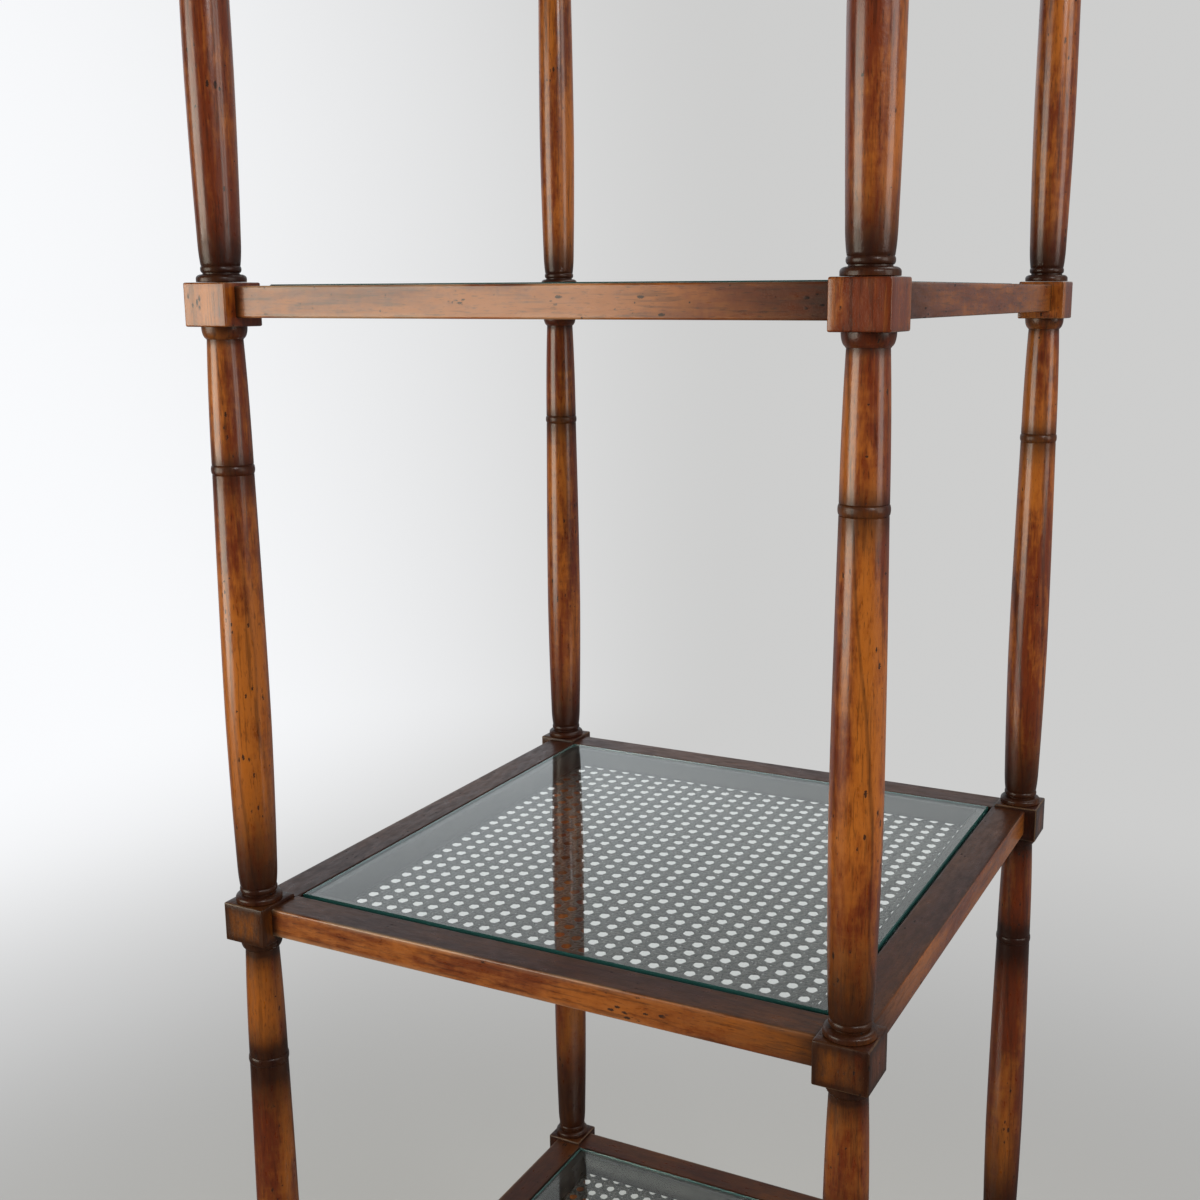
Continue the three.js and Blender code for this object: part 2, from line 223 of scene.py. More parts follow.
lamp_aim = Vector((0, 0, 1.15))
lamps = [
    # name, degrees from +X towards +Y, distance, height, width, length, watts, colour
    ("left lamp", -131, 2.6, 1.25, 1.7, 1.5, 49, (0.98, 0.95, 0.81)),
    ("right window", -5, 2.6, 1.7, 1.2, 1.6, 22, (1.0, 0.94, 0.86)),
    ("high window", -37, 2.6, 2.5, 0.75, 0.8, 30, (1.0, 0.97, 0.95)),
    ("top lamp", 70, 1.2, 3.4, 1.8, 1.8, 26, (1.0, 0.98, 0.95)),
]
for name, bearing, away, height, width, length, watts, colour in lamps:
    lamp = bpy.data.lights.new(name, "AREA")
    lamp.shape = "RECTANGLE"
    lamp.size = width
    lamp.size_y = length
    lamp.energy = watts
    lamp.color = colour
    angle = math.radians(bearing)
    spot = Vector((math.cos(angle) * away, math.sin(angle) * away, height))
    towards_stand = (lamp_aim - spot).to_track_quat("-Z", "Y").to_matrix().to_4x4()
    in_scene(name, lamp).matrix_world = Matrix.Translation(spot) @ towards_stand

bpy.context.scene.view_settings.view_transform = "Standard"

# The post sections: four to a corner, each turned from one piece of mahogany that stays square at its head.
# Each has a ring and a bead at its foot, swells, carries a narrow bead and ends in a collar under its block.
# They are stained, glazed dark in the hollows, painted with shade above and below their rings, beads and
# collars, marked and lacquered, and pinned one on the other.
corners = ("front_left", "front_right", "back_right", "back_left")
tier_count = sum(name.startswith("glass_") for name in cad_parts)
tier_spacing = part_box("rail_2_front")[0][2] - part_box("rail_1_front")[0][2]
block_width, block_height, block_arris = 33.5 * mm, 27.2 * mm, 1.1 * mm
section_height = tier_spacing - block_height
seat_gap = 0.3 * mm
ring_radius, ring_band, ring_height = 15.5 * mm, 2.2 * mm, 4.7 * mm
groove_radius, groove_height = 11.3 * mm, 0.9 * mm
foot_bead_radius, foot_bead_height = 12.55 * mm, 4.5 * mm
quirk = 0.35 * mm
ankle_radius = 12.1 * mm
shin_radius, shin_rise = 13.3 * mm, 28 * mm
bulge_radius, bulge_rise = 14.9 * mm, 125 * mm
waist_radius = 13.2 * mm
mid_bead_radius, mid_bead_height, mid_bead_drop = 13.8 * mm, 6.1 * mm, 90.5 * mm
neck_radius = 11.3 * mm
collar_radius, collar_height = 14.2 * mm, 7.5 * mm
# the points, as radius and height, that the curves of the shaft lean towards
shin_pull, bulge_pull = (13.15 * mm, 17 * mm), (14.6 * mm, 76 * mm)
waist_pull, neck_pull = (bulge_radius, 183 * mm), (12.9 * mm, 343 * mm)
lathe_sides = 56
quarter_turn = math.pi / 2
crease_angle = math.radians(38)
glaze_and_shade_stations, shadow_falloff = 1200, 1.4
hollow_window, hollow_depth = 9 * mm, 0.8 * mm
crest_rise, crest_share = 0.9 * mm, 0.08
# by tier: how high the painted shade reaches above the ring, and how much darker the shaft and the block are
# made;
# the two lower tiers are darker
section_finish = {
    1: (68 * mm, 0.42, 0.7),
    2: (68 * mm, 0.42, 0.7),
    3: (68 * mm, 0, 0.02),
    4: (38 * mm, 0, 0.02),
}
block_steps = 8
arris_glaze, arris_glaze_reach, arris_glaze_falloff = 0.45, 3.6 * mm, 1.2
level_painted_shade = 0.85
arris_wear, arris_wear_reach = 0.32, 1.0 * mm
# painted shade below and above the mid bead, and under the collar
section_shadows = [
    # height, fade below, fade above, strength
    (section_height - mid_bead_drop + 2 * mm, 26 * mm, 13 * mm, 0.8),
    (section_height, 16 * mm, 9 * mm, 0.78),
]


def arc(centre_radius, centre_height, reach, rise, start, end, steps):
    """Points on an elliptical arc, as radius and height."""
    turns = np.linspace(start, end, steps + 1)
    return [(centre_radius + reach * math.cos(a), centre_height + rise * math.sin(a)) for a in turns]


def bend(start, pull, end, steps):
    """Points on a curve from start to end that leans towards pull."""
    shares = np.linspace(0, 1, steps + 1)[:, None]
    curve = (1 - shares) ** 2 * np.array(start) + 2 * shares * (1 - shares) * np.array(pull)
    return [tuple(point) for point in curve + shares ** 2 * np.array(end)]


def base_mouldings(bottom):
    """The ring, the groove and the bead that a section and a finial both start with."""
    ring_top = bottom + ring_height
    bead_bottom = ring_top + groove_height
    bead_middle = bead_bottom + foot_bead_height / 2
    band_top = bottom + ring_band
    shoulder = ring_radius - groove_radius - quirk * 2
    crown = foot_bead_radius - groove_radius
    return [
        (0, bottom),
        *arc(ring_radius - quirk, bottom + quirk, quirk, quirk, -quarter_turn, 0, 3),
        *arc(ring_radius - shoulder, band_top, shoulder, ring_top - band_top, 0, quarter_turn, 8),
        (groove_radius, ring_top + quirk / 2),
        (groove_radius, bead_bottom),
        *arc(groove_radius, bead_middle, crown, foot_bead_height / 2,
             -quarter_turn * 0.9, quarter_turn * 0.75, 12),
        (ankle_radius - quirk, bead_bottom + foot_bead_height - quirk),
    ]


def collar_moulding(top):
    """The rounded collar under a block, and the quirk below it."""
    bottom = top - collar_height
    return [
        (neck_radius, bottom - quirk),
        (neck_radius + quirk, bottom - quirk),
        *arc(neck_radius, top, collar_radius - neck_radius, collar_height, -quarter_turn * 0.85, 0, 12),
    ]


def section_outline():
    """The outline of a post section from its seat up to its block, as radius and height."""
    shaft_bottom = seat_gap + ring_height + groove_height + foot_bead_height
    bead_middle = section_height - mid_bead_drop
    bead_low, bead_high = bead_middle - mid_bead_height / 2, bead_middle + mid_bead_height / 2
    neck = (neck_radius, section_height - collar_height - quirk)
    return [
        *base_mouldings(seat_gap),
        *bend((ankle_radius, shaft_bottom), shin_pull, (shin_radius, shin_rise), 8),
        *bend((shin_radius, shin_rise), bulge_pull, (bulge_radius, bulge_rise), 14),
        *bend((bulge_radius, bulge_rise), waist_pull, (waist_radius, bead_low - quirk), 20),
        (waist_radius - quirk, bead_low),
        *arc(waist_radius - quirk, bead_middle, mid_bead_radius - waist_radius + quirk, mid_bead_height / 2,
             -quarter_turn * 0.85, quarter_turn * 0.85, 12),
        (waist_radius - quirk, bead_high),
        *bend((waist_radius, bead_high + quirk), neck_pull, neck, 14),
        *collar_moulding(section_height),
        (0, section_height),
    ]


def tidy_outline(outline):
    """Drops points that lie on the one before them."""
    kept = [outline[0]]
    for point in outline[1:]:
        if math.dist(point, kept[-1]) > 0.01 * mm:
            kept.append(point)
    return kept


def glaze_and_shade_on_outline(outline, shadows):
    """How dark the glaze and the painted shade lie: glaze full in the hollows, painted shade fading above and
    below each shadow.
    """
    points = np.array(outline)
    length = np.concatenate([[0], np.cumsum(np.hypot(*np.diff(points, axis=0).T))])
    even = np.linspace(0, length[-1], glaze_and_shade_stations)
    radius = np.interp(even, length, points[:, 0])
    height = np.interp(even, length, points[:, 1])
    window = max(3, int(hollow_window / (even[1] - even[0])))
    padded = np.pad(radius, window, mode="edge")
    smooth = np.convolve(padded, np.ones(window) / window, mode="same")[window:-window]
    glaze_and_shade = np.clip((smooth - radius) / hollow_depth, 0, 1)
    for at, fade_below, fade_above, strength in shadows:
        away = np.where(height < at, (at - height) / fade_below, (height - at) / fade_above)
        glaze_and_shade = np.maximum(glaze_and_shade, strength * np.exp(-away ** shadow_falloff))
    crest = np.clip((radius - smooth) / crest_rise, 0, 1)
    glaze_and_shade = glaze_and_shade * (1 - crest_share * crest)
    return np.interp(length, even, glaze_and_shade)


def skin(rings, count, flipped=False):
    """The faces along a row of rings with as many points each, and then the faces at its two ends."""
    faces = []
    for ring in range(rings - 1):
        a, b = ring * count, (ring + 1) * count
        for i in range(count):
            j = (i + 1) % count
            faces.append((a + i, b + i, b + j, a + j) if flipped else (a + i, a + j, b + j, b + i))
    first = tuple(range(count))
    last = tuple((rings - 1) * count + i for i in range(count))
    return faces + ([first, last[::-1]] if flipped else [first[::-1], last])


def turned(outline, shadows):
    """A turning as vertices, faces, glaze with painted shade, and wear, with its foot at height 0."""
    outline = tidy_outline(outline)
    glaze_and_shade = glaze_and_shade_on_outline(outline, shadows)
    rings = [point for point in outline if point[0] > 0]
    first = outline.index(rings[0])
    turns = np.arange(lathe_sides) * 2 * math.pi / lathe_sides
    vertices = [(r * math.cos(a), r * math.sin(a), z) for r, z in rings for a in turns]
    glazed = np.repeat(glaze_and_shade[first:first + len(rings)], lathe_sides)
    return np.array(vertices), skin(len(rings), lathe_sides), glazed, np.zeros(len(vertices))


def eased_steps(half, arris, steps):
    """Places across a face: close together over the rounded edges, and evenly spread between them."""
    edge = arris * np.sin(np.linspace(0, quarter_turn, 4))
    inner = np.linspace(-(half - arris), half - arris, steps + 1)
    return np.concatenate([-half + arris - edge[::-1], inner[1:-1], half - arris + edge])


def rounded_block(bottom, darkening):
    """A square block with softened edges as vertices, faces, glaze with painted shade, and wear."""
    halves = np.array([block_width, block_width, block_height]) / 2
    steps = [eased_steps(half, block_arris, block_steps) for half in halves]
    index, faces = {}, []
    for axis in range(3):
        across, along = [other for other in range(3) if other != axis]
        for end in (0, len(steps[axis]) - 1):
            for i in range(len(steps[across]) - 1):
                for j in range(len(steps[along]) - 1):
                    ring = []
                    for a, b in ((i, j), (i + 1, j), (i + 1, j + 1), (i, j + 1)):
                        cell = [0, 0, 0]
                        cell[axis], cell[across], cell[along] = end, a, b
                        ring.append(index.setdefault(tuple(cell), len(index)))
                    outwards = (end > 0) == (axis != 1)
                    faces.append(tuple(ring if outwards else ring[::-1]))
    points = np.array([[steps[axis][cell[axis]] for axis in range(3)] for cell in index])
    core = np.clip(points, -(halves - block_arris), halves - block_arris)
    outward = points - core
    reach = np.linalg.norm(outward, axis=1, keepdims=True)
    rounded = core + outward / np.maximum(reach, 1e-9) * np.minimum(reach, block_arris)
    inset = np.sort(halves - np.abs(rounded), axis=1)
    to_edge = inset[:, 1]
    glaze_and_shade = arris_glaze * np.exp(-(to_edge / arris_glaze_reach) ** arris_glaze_falloff) + darkening
    # painted shade on the block's top and bottom faces
    level = np.abs(rounded[:, 2]) > halves[2] - 0.2 * mm
    glaze_and_shade = np.where(level, level_painted_shade, glaze_and_shade)
    worn_and_highlight = arris_wear * np.clip(1 - to_edge / arris_wear_reach, 0, 1)
    rounded[:, 2] += bottom + block_height / 2
    return rounded, faces, glaze_and_shade, worn_and_highlight


def box(node):
    """The lowest and the highest corner of a constructed piece."""
    return [Vector(point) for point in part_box(node)]


def joined(*solids):
    """Several solids as one, each with its vertices, faces, glaze with painted shade, and wear with painted
    highlight.
    """
    vertices, faces, glaze_and_shade, worn_and_highlight = [], [], [], []
    for points, loops, dark, light in solids:
        start = sum(len(part) for part in vertices)
        vertices.append(points)
        faces += [tuple(start + corner for corner in loop) for loop in loops]
        glaze_and_shade.append(dark)
        worn_and_highlight.append(light)
    return np.concatenate(vertices), faces, np.concatenate(glaze_and_shade), np.concatenate(worn_and_highlight)


def wooden_piece(name, solid, place, material, grain_turn=None, spin=0.0):
    """A mesh piece in its place, which keeps where its grain runs, its glaze with painted shade, and its wear
    with painted highlight.
    """
    points, faces, glaze_and_shade, worn_and_highlight = solid
    mesh = bpy.data.meshes.new(name)
    turn = Matrix.Rotation(spin, 3, "Z")
    placed = points @ np.array(turn).T + np.array(place)
    mesh.from_pydata(placed.tolist(), [], faces)
    pick = np.random.default_rng([ord(letter) for letter in name])
    along = points if grain_turn is None else points[:, grain_turn]
    grain = along + pick.uniform(-6, 6, 3)
    for label, values in (("glaze_and_shade", glaze_and_shade), ("worn_and_highlight", worn_and_highlight)):
        kept = mesh.attributes.new(label, "FLOAT", "POINT")
        kept.data.foreach_set("value", np.asarray(values, dtype=float))
    mesh.attributes.new("grain", "FLOAT_VECTOR", "POINT").data.foreach_set("vector", grain.ravel())
    mesh.materials.append(material)
    mesh.shade_smooth()
    mesh.set_sharp_from_angle(angle=crease_angle)
    return in_scene(name, mesh)


def sized(tree, vector, scale):
    """A vector stretched by a scale on each axis."""
    return add(tree, "ShaderNodeVectorMath", vector, scale, operation="MULTIPLY").outputs["Vector"]


def noise(tree, vector, scale, detail, roughness, distortion=0.0):
    """A cloudy value around a half."""
    node = add(tree, "ShaderNodeTexNoise")
    feed(tree, node.inputs["Vector"], vector)
    feed(tree, node.inputs["Scale"], scale)
    feed(tree, node.inputs["Detail"], detail)
    feed(tree, node.inputs["Roughness"], roughness)
    feed(tree, node.inputs["Distortion"], distortion)
    return node.outputs[0]


def speckle(tree, vector, scale, size, share):
    """Round scattered marks: size is their radius in cells, and share is how many of the cells have one."""
    cells = add(tree, "ShaderNodeTexVoronoi", feature="F1")
    feed(tree, cells.inputs["Vector"], vector)
    feed(tree, cells.inputs["Scale"], scale)
    chance = add(tree, "ShaderNodeSeparateColor", cells.outputs["Color"]).outputs
    chosen = maths(tree, "LESS_THAN", chance[0], share)
    radius = maths(tree, "MULTIPLY", maths(tree, "ADD", chance[1], 0.35), size)
    near = maths(tree, "SUBTRACT", radius, cells.outputs["Distance"])
    return maths(tree, "MULTIPLY", chosen, between(tree, near, 0.0, 0.04))


def group(name, inputs, outputs):
    """An empty node group with its sockets by kind, its input node and its output node."""
    made = bpy.data.node_groups.new(name, "ShaderNodeTree")
    for side, kinds in (("INPUT", inputs), ("OUTPUT", outputs)):
        for kind, labels in kinds.items():
            for label in labels:
                made.interface.new_socket(label, in_out=side, socket_type=f"NodeSocket{kind}")
    return made, made.nodes.new("NodeGroupInput").outputs, made.nodes.new("NodeGroupOutput").inputs


# the wood's patterns: stretch on each axis, the last along the grain, then size, detail, roughness and swirl
grain_patterns = {
    "wander": ((1, 1, 0.22), 24, 2, 0.5),
    "broad": ((1, 1, 0.22), 30, 3, 0.55, 0.4),
    "figure": ((0.7, 0.7, 1.8), 85, 3, 0.6, 0.6),
    "streak": ((1, 1, 0.055), 430, 3, 0.6, 0.3),
    "pores": ((1, 1, 0.12), 1200, 2, 0.6),
    "mottle": ((1, 1, 0.3), 260, 3, 0.65),
    "patch": ((1, 1, 1), 30, 2, 0.5),
    "ragged": ((1, 1, 1), 1400, 2, 0.6),
    "rubbing_and_highlight": ((1, 1, 0.5), 22, 3, 0.6),
    "peel": ((1, 1, 0.8), 640, 2, 0.6),
    "dents": ((1, 1, 0.5), 150, 2, 0.5),
}
layer_tilt, layer_wander, layer_size = (1, 0.45, 0.055), 0.024, 150
cloud_shares = {"broad": 0.65, "figure": 0.1, "mottle": 0.25}
# spans of these patterns: from, to, and for some the strength at each
warm_clouds, dark_layers = (0.43, 0.60), (0.53, 0.70)
dark_streaks, light_streaks = (0.47, 0.34, 0.0, 0.42), (0.56, 0.72, 0.0, 0.42)
dark_pores, dark_glaze_and_shade = (0.42, 0.30, 0.0, 0.5), (0.12, 1.0, 0.0, 0.93)
thin_glaze_and_shade, mark_clusters, worn_and_highlight_patches = (0.02, 0.3), (0.56, 0.62), (0.43, 0.58)
dull_patches, lacquer_on_glaze_and_shade = (0.3, 0.7, 0.27, 0.42), (0.35, 0.8, 1.0, 0.15)
torn_shares = {"mottle": 0.5, "streak": 0.3}
mark_tear, mark_colour = (0.0016, 0.0016, 0.0022), (0.008, 0.004, 0.003)
worn_and_highlight_depth, mark_depth, mark_roughness, mark_sink = 0.65, 0.88, 0.3, -0.8
dot_size, dot_radius, dot_share = 230, 0.15, 0.09
dash_stretch, dash_size, dash_radius, dash_share = (1, 1, 0.4), 330, 0.26, 0.5
relief_shares, relief_depth = {"dents": 1.1, "peel": 0.7, "pores": 0.12}, 0.25 * mm
# the lacquer's coat, and how it thins towards the rim of a turning
coat_roughness, coat_tint, coat_rim, coat_at_rim = 0.17, (0.95, 0.88, 0.80), (0.5, 0.95), 0.3
wood_specular, wood_refraction = 0.22, 1.5

tones = ("Dark", "Middle", "Light", "Rubbed_and_highlight")
wood, given, result = group(
    "stained wood",
    inputs={"Vector": ["Grain"], "Float": ["Glaze_and_shade", "Worn_and_highlight", "Layers"], "Color": tones},
    outputs={"Color": ["Color"], "Float": ["Roughness", "Height", "Lacquer"]})
grain = given["Grain"]
pattern = {}
for label, (stretch, *look) in grain_patterns.items():
    pattern[label] = noise(wood, sized(wood, grain, stretch), *look)


def blended(shares):
    """The wood's patterns added up, each by its share."""
    total = 0.0
    for label, share in shares.items():
        total = maths(wood, "MULTIPLY_ADD", pattern[label], share, total)
    return total


# red-brown to amber in clouds, crossed by faint ripples and by the darker growth layers
sawn = add(wood, "ShaderNodeVectorMath", grain, layer_tilt, operation="DOT_PRODUCT").outputs["Value"]
sawn = maths(wood, "MULTIPLY_ADD", pattern["wander"], layer_wander, sawn)
layer = add(wood, "ShaderNodeCombineXYZ", sawn, 0.0, 0.0).outputs[0]
rings = noise(wood, layer, layer_size, 2, 0.55)
warmth, streak = blended(cloud_shares), pattern["streak"]
ground = mixed(wood, between(wood, warmth, *warm_clouds), given["Middle"], given["Light"])
ground = mixed(wood, between(wood, rings, *dark_layers, 0.0, given["Layers"]), ground, given["Dark"])
ground = mixed(wood, between(wood, streak, *dark_streaks), ground, given["Dark"])
ground = mixed(wood, between(wood, streak, *light_streaks), ground, given["Light"])
ground = mixed(wood, between(wood, pattern["pores"], *dark_pores), ground, given["Dark"])

# the dark glaze and the painted shade, which break up along the grain where they thin out
torn = maths(wood, "SUBTRACT", blended(torn_shares), sum(torn_shares.values()) / 2)
glaze_and_shade = maths(wood, "MULTIPLY_ADD", torn, between(wood, given["Glaze_and_shade"], *thin_glaze_and_shade), given["Glaze_and_shade"])
ground = mixed(wood, between(wood, glaze_and_shade, *dark_glaze_and_shade), ground, given["Dark"])

# wear on the arrises, with a painted highlight on the rails, and the black specks and dashes of a distressed
# finish
tear = sized(wood, pattern["ragged"], mark_tear)
torn_place = add(wood, "ShaderNodeVectorMath", grain, tear, operation="ADD").outputs[0]
dots = speckle(wood, torn_place, dot_size, dot_radius, dot_share)
dashes = speckle(wood, sized(wood, torn_place, dash_stretch), dash_size, dash_radius, dash_share)
clustered = between(wood, pattern["patch"], *mark_clusters)
marks = maths(wood, "MAXIMUM", dots, maths(wood, "MULTIPLY", dashes, clustered))
rubbed_and_highlight = maths(wood, "MULTIPLY", given["Worn_and_highlight"], between(wood, pattern["rubbing_and_highlight"], *worn_and_highlight_patches))
ground = mixed(wood, maths(wood, "MULTIPLY", rubbed_and_highlight, worn_and_highlight_depth), ground, given["Rubbed_and_highlight"])
ground = mixed(wood, maths(wood, "MULTIPLY", marks, mark_depth), ground, mark_colour)
feed(wood, result["Color"], ground)
feed(wood, result["Lacquer"], between(wood, glaze_and_shade, *lacquer_on_glaze_and_shade))

# duller in patches and in the marks, which are sunk in a softly uneven surface
dull = between(wood, pattern["mottle"], *dull_patches)
feed(wood, result["Roughness"], maths(wood, "MULTIPLY_ADD", marks, mark_roughness, dull))
feed(wood, result["Height"], maths(wood, "MULTIPLY_ADD", marks, mark_sink, blended(relief_shares)))


def bumped(tree, surface, height, strength, depth):
    """Presses a pattern of heights into a surface."""
    bump = add(tree, "ShaderNodeBump")
    feed(tree, bump.inputs["Strength"], strength)
    feed(tree, bump.inputs["Distance"], depth)
    feed(tree, bump.inputs["Height"], height)
    feed(tree, surface.inputs["Normal"], bump.outputs["Normal"])


def stained(name, dark, middle, light, rubbed_and_highlight, coat, relief, layers):
    """Stained wood in the given tones, under lacquer that is thinner where the glaze and the painted shade
    are thick.
    """
    made, tree, surface = new_material(name)
    timber = add(tree, "ShaderNodeGroup", node_tree=wood)
    for label in ("Grain", "Glaze_and_shade", "Worn_and_highlight"):
        read = add(tree, "ShaderNodeAttribute", attribute_name=label.lower())
        tree.links.new(read.outputs["Vector" if label == "Grain" else "Fac"], timber.inputs[label])
    timber.inputs["Layers"].default_value = layers
    for label, tone in zip(tones, (dark, middle, light, rubbed_and_highlight)):
        feed(tree, timber.inputs[label], tone)
    tree.links.new(timber.outputs["Color"], surface.inputs["Base Color"])
    tree.links.new(timber.outputs["Roughness"], surface.inputs["Roughness"])
    bumped(tree, surface, timber.outputs["Height"], relief, relief_depth)
    slant = add(tree, "ShaderNodeLayerWeight", 0.5).outputs["Facing"]
    sheen = between(tree, slant, *coat_rim, coat, coat * coat_at_rim)
    gloss = maths(tree, "MULTIPLY", timber.outputs["Lacquer"], sheen)
    tree.links.new(gloss, surface.inputs["Coat Weight"])
    surface.inputs["Coat Roughness"].default_value = coat_roughness
    surface.inputs["Coat Tint"].default_value = (*coat_tint, 1)
    surface.inputs["Specular IOR Level"].default_value = wood_specular
    surface.inputs["IOR"].default_value = wood_refraction
    return made


mahogany = stained(
    "mahogany", dark=(0.013, 0.0045, 0.0028), middle=(0.13, 0.023, 0.005), light=(0.35, 0.104, 0.011),
    rubbed_and_highlight=(0.55, 0.36, 0.19), coat=0.6, relief=0.75, layers=0.5)

for tier, (ring_shade_rise, shaft_darkening, block_darkening) in section_finish.items():
    # painted shade above the ring at the section's foot
    ring_shadow = (5 * mm, 20 * mm, ring_shade_rise, 1.0)
    points, faces, glaze_and_shade, worn_and_highlight = turned(section_outline(), [ring_shadow, *section_shadows])
    # the shafts and blocks of the two lower tiers are made darker
    shaft = points, faces, glaze_and_shade + shaft_darkening, worn_and_highlight
    section = joined(shaft, rounded_block(section_height, block_darkening))
    for corner_name in corners:
        node = f"post_section_{tier}_{corner_name}"
        low, high = box(node)
        seat = ((low.x + high.x) / 2, (low.y + high.y) / 2, high.z - block_height - section_height)
        piece = wooden_piece(f"turned_{node}", section, seat, mahogany)
        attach(piece, "stand")
        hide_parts(node)

# The feet: a turned toupie foot on a flat toe, with the block of the lowest shelf at its head.
# They are mahogany like the posts, each turned from one piece.
foot_height = 110 * mm
toe_radius, toe_height, toe_pad_radius = 12.5 * mm, 18 * mm, 8.5 * mm
foot_ankle, foot_bulge = (8.75 * mm, 22 * mm), (13.5 * mm, 82 * mm)
foot_bulge_pull, foot_neck_pull = (13.5 * mm, 43 * mm), (13.5 * mm, 95 * mm)
foot_neck = (neck_radius, foot_height - collar_height - quirk)
foot_stain = 0.5

foot_outline = [
    (0, 0),
    (toe_pad_radius, 0),
    *arc(toe_pad_radius, toe_height / 2, toe_radius - toe_pad_radius, toe_height / 2,
         -quarter_turn, quarter_turn, 16),
    (foot_ankle[0] - quirk, toe_height + quirk),
    (foot_ankle[0] - quirk, foot_ankle[1] - quirk),
    *bend(foot_ankle, foot_bulge_pull, foot_bulge, 20),
    *bend(foot_bulge, foot_neck_pull, foot_neck, 8),
    *collar_moulding(foot_height),
    (0, foot_height),
]
# painted shade under the block and around the ankle
foot_shadows = [(foot_height, 16 * mm, 9 * mm, 0.78), (foot_ankle[1], 14 * mm, 24 * mm, 0.9)]
foot = joined(turned(foot_outline, foot_shadows), rounded_block(foot_height, foot_stain))
for corner_name in corners:
    node = f"foot_{corner_name}"
    low, high = box(node)
    toe = ((low.x + high.x) / 2, (low.y + high.y) / 2, low.z)
    piece = wooden_piece(f"turned_{node}", foot, toe, mahogany)
    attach(piece, "stand")
    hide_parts(node)

# The finials: a small urn and knob on each corner of the top shelf, turned in mahogany.
# Each stands on the same ring and bead as a post section and is pinned into the block below it.
finial_height, finial_knob_radius = 64 * mm, 5.75 * mm
finial_ankle, finial_stem = (ankle_radius - quirk, 10.6 * mm), (6.5 * mm, 17 * mm)
finial_bulge, finial_tip = (13 * mm, 33 * mm), (3.5 * mm, 52 * mm)
finial_stem_pull = (6.5 * mm, 11.4 * mm)
finial_bulge_pull, finial_tip_pull = (13 * mm, 17 * mm), (13 * mm, 52 * mm)
knob_half = (finial_height - finial_tip[1]) / 2

finial_outline = [
    *base_mouldings(seat_gap),
    *bend(finial_ankle, finial_stem_pull, finial_stem, 8),
    *bend(finial_stem, finial_bulge_pull, finial_bulge, 14),
    *bend(finial_bulge, finial_tip_pull, finial_tip, 14),
    *arc(0, finial_tip[1] + knob_half, finial_knob_radius, knob_half,
         -quarter_turn * 0.55, quarter_turn * 0.97, 14),
    (0, finial_height),
]
# painted shade above the ring and under the knob
finial_shadows = [(5 * mm, 20 * mm, 12 * mm, 0.9), (finial_tip[1], 7 * mm, 3 * mm, 0.8)]
finial = turned(finial_outline, finial_shadows)
for corner_name in corners:
    node = f"finial_{corner_name}"
    low, high = box(node)
    seat = ((low.x + high.x) / 2, (low.y + high.y) / 2, high.z - finial_height)
    piece = wooden_piece(f"turned_{node}", finial, seat, mahogany)
    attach(piece, "stand")
    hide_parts(node)

# The rails: four mahogany bars to a shelf, tenoned into the blocks and set back from their faces.
# Their edges are softly rounded and rubbed, with a painted highlight in the rubbed colour, the front ones
# most at their left ends. Dark glaze is left where they meet the blocks, and painted shade darkens their
# tops, their inner faces and their ends, most towards the front right corner.
rail_low, rail_high = box("rail_1_front")
rail_height = rail_high.z - rail_low.z
rail_inner, rail_outer = -rail_high.y, -rail_low.y
block_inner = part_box("post_section_1_front_right")[0][0]
rail_arris = 1.2 * mm
# where a rail is divided, as shares of its half length
end_stations, middle_reach, middle_stations = np.array([0.97, 0.985, 0.996, 1]), 0.95, 64
# a little glaze all over the rail, and how far the painted shade reaches in from its ends
rail_glaze, rail_end_shadow = 0.13, 80 * mm
joint_glaze, joint_shadow, joint_falloff = 0.9, 6 * mm, 1.5
# painted shade on the rail's top and on its inner face
top_painted_shade, inner_painted_shade = 0.78, 1
# the width of the rubbed edge, which also carries a painted highlight
wear_and_highlight_width = 1.5 * mm
rail_mahogany = stained(
    "rail mahogany", dark=(0.014, 0.0055, 0.0038), middle=(0.125, 0.028, 0.007), light=(0.29, 0.088, 0.013),
    rubbed_and_highlight=(0.75, 0.58, 0.38), coat=0.55, relief=0.45, layers=0.3)


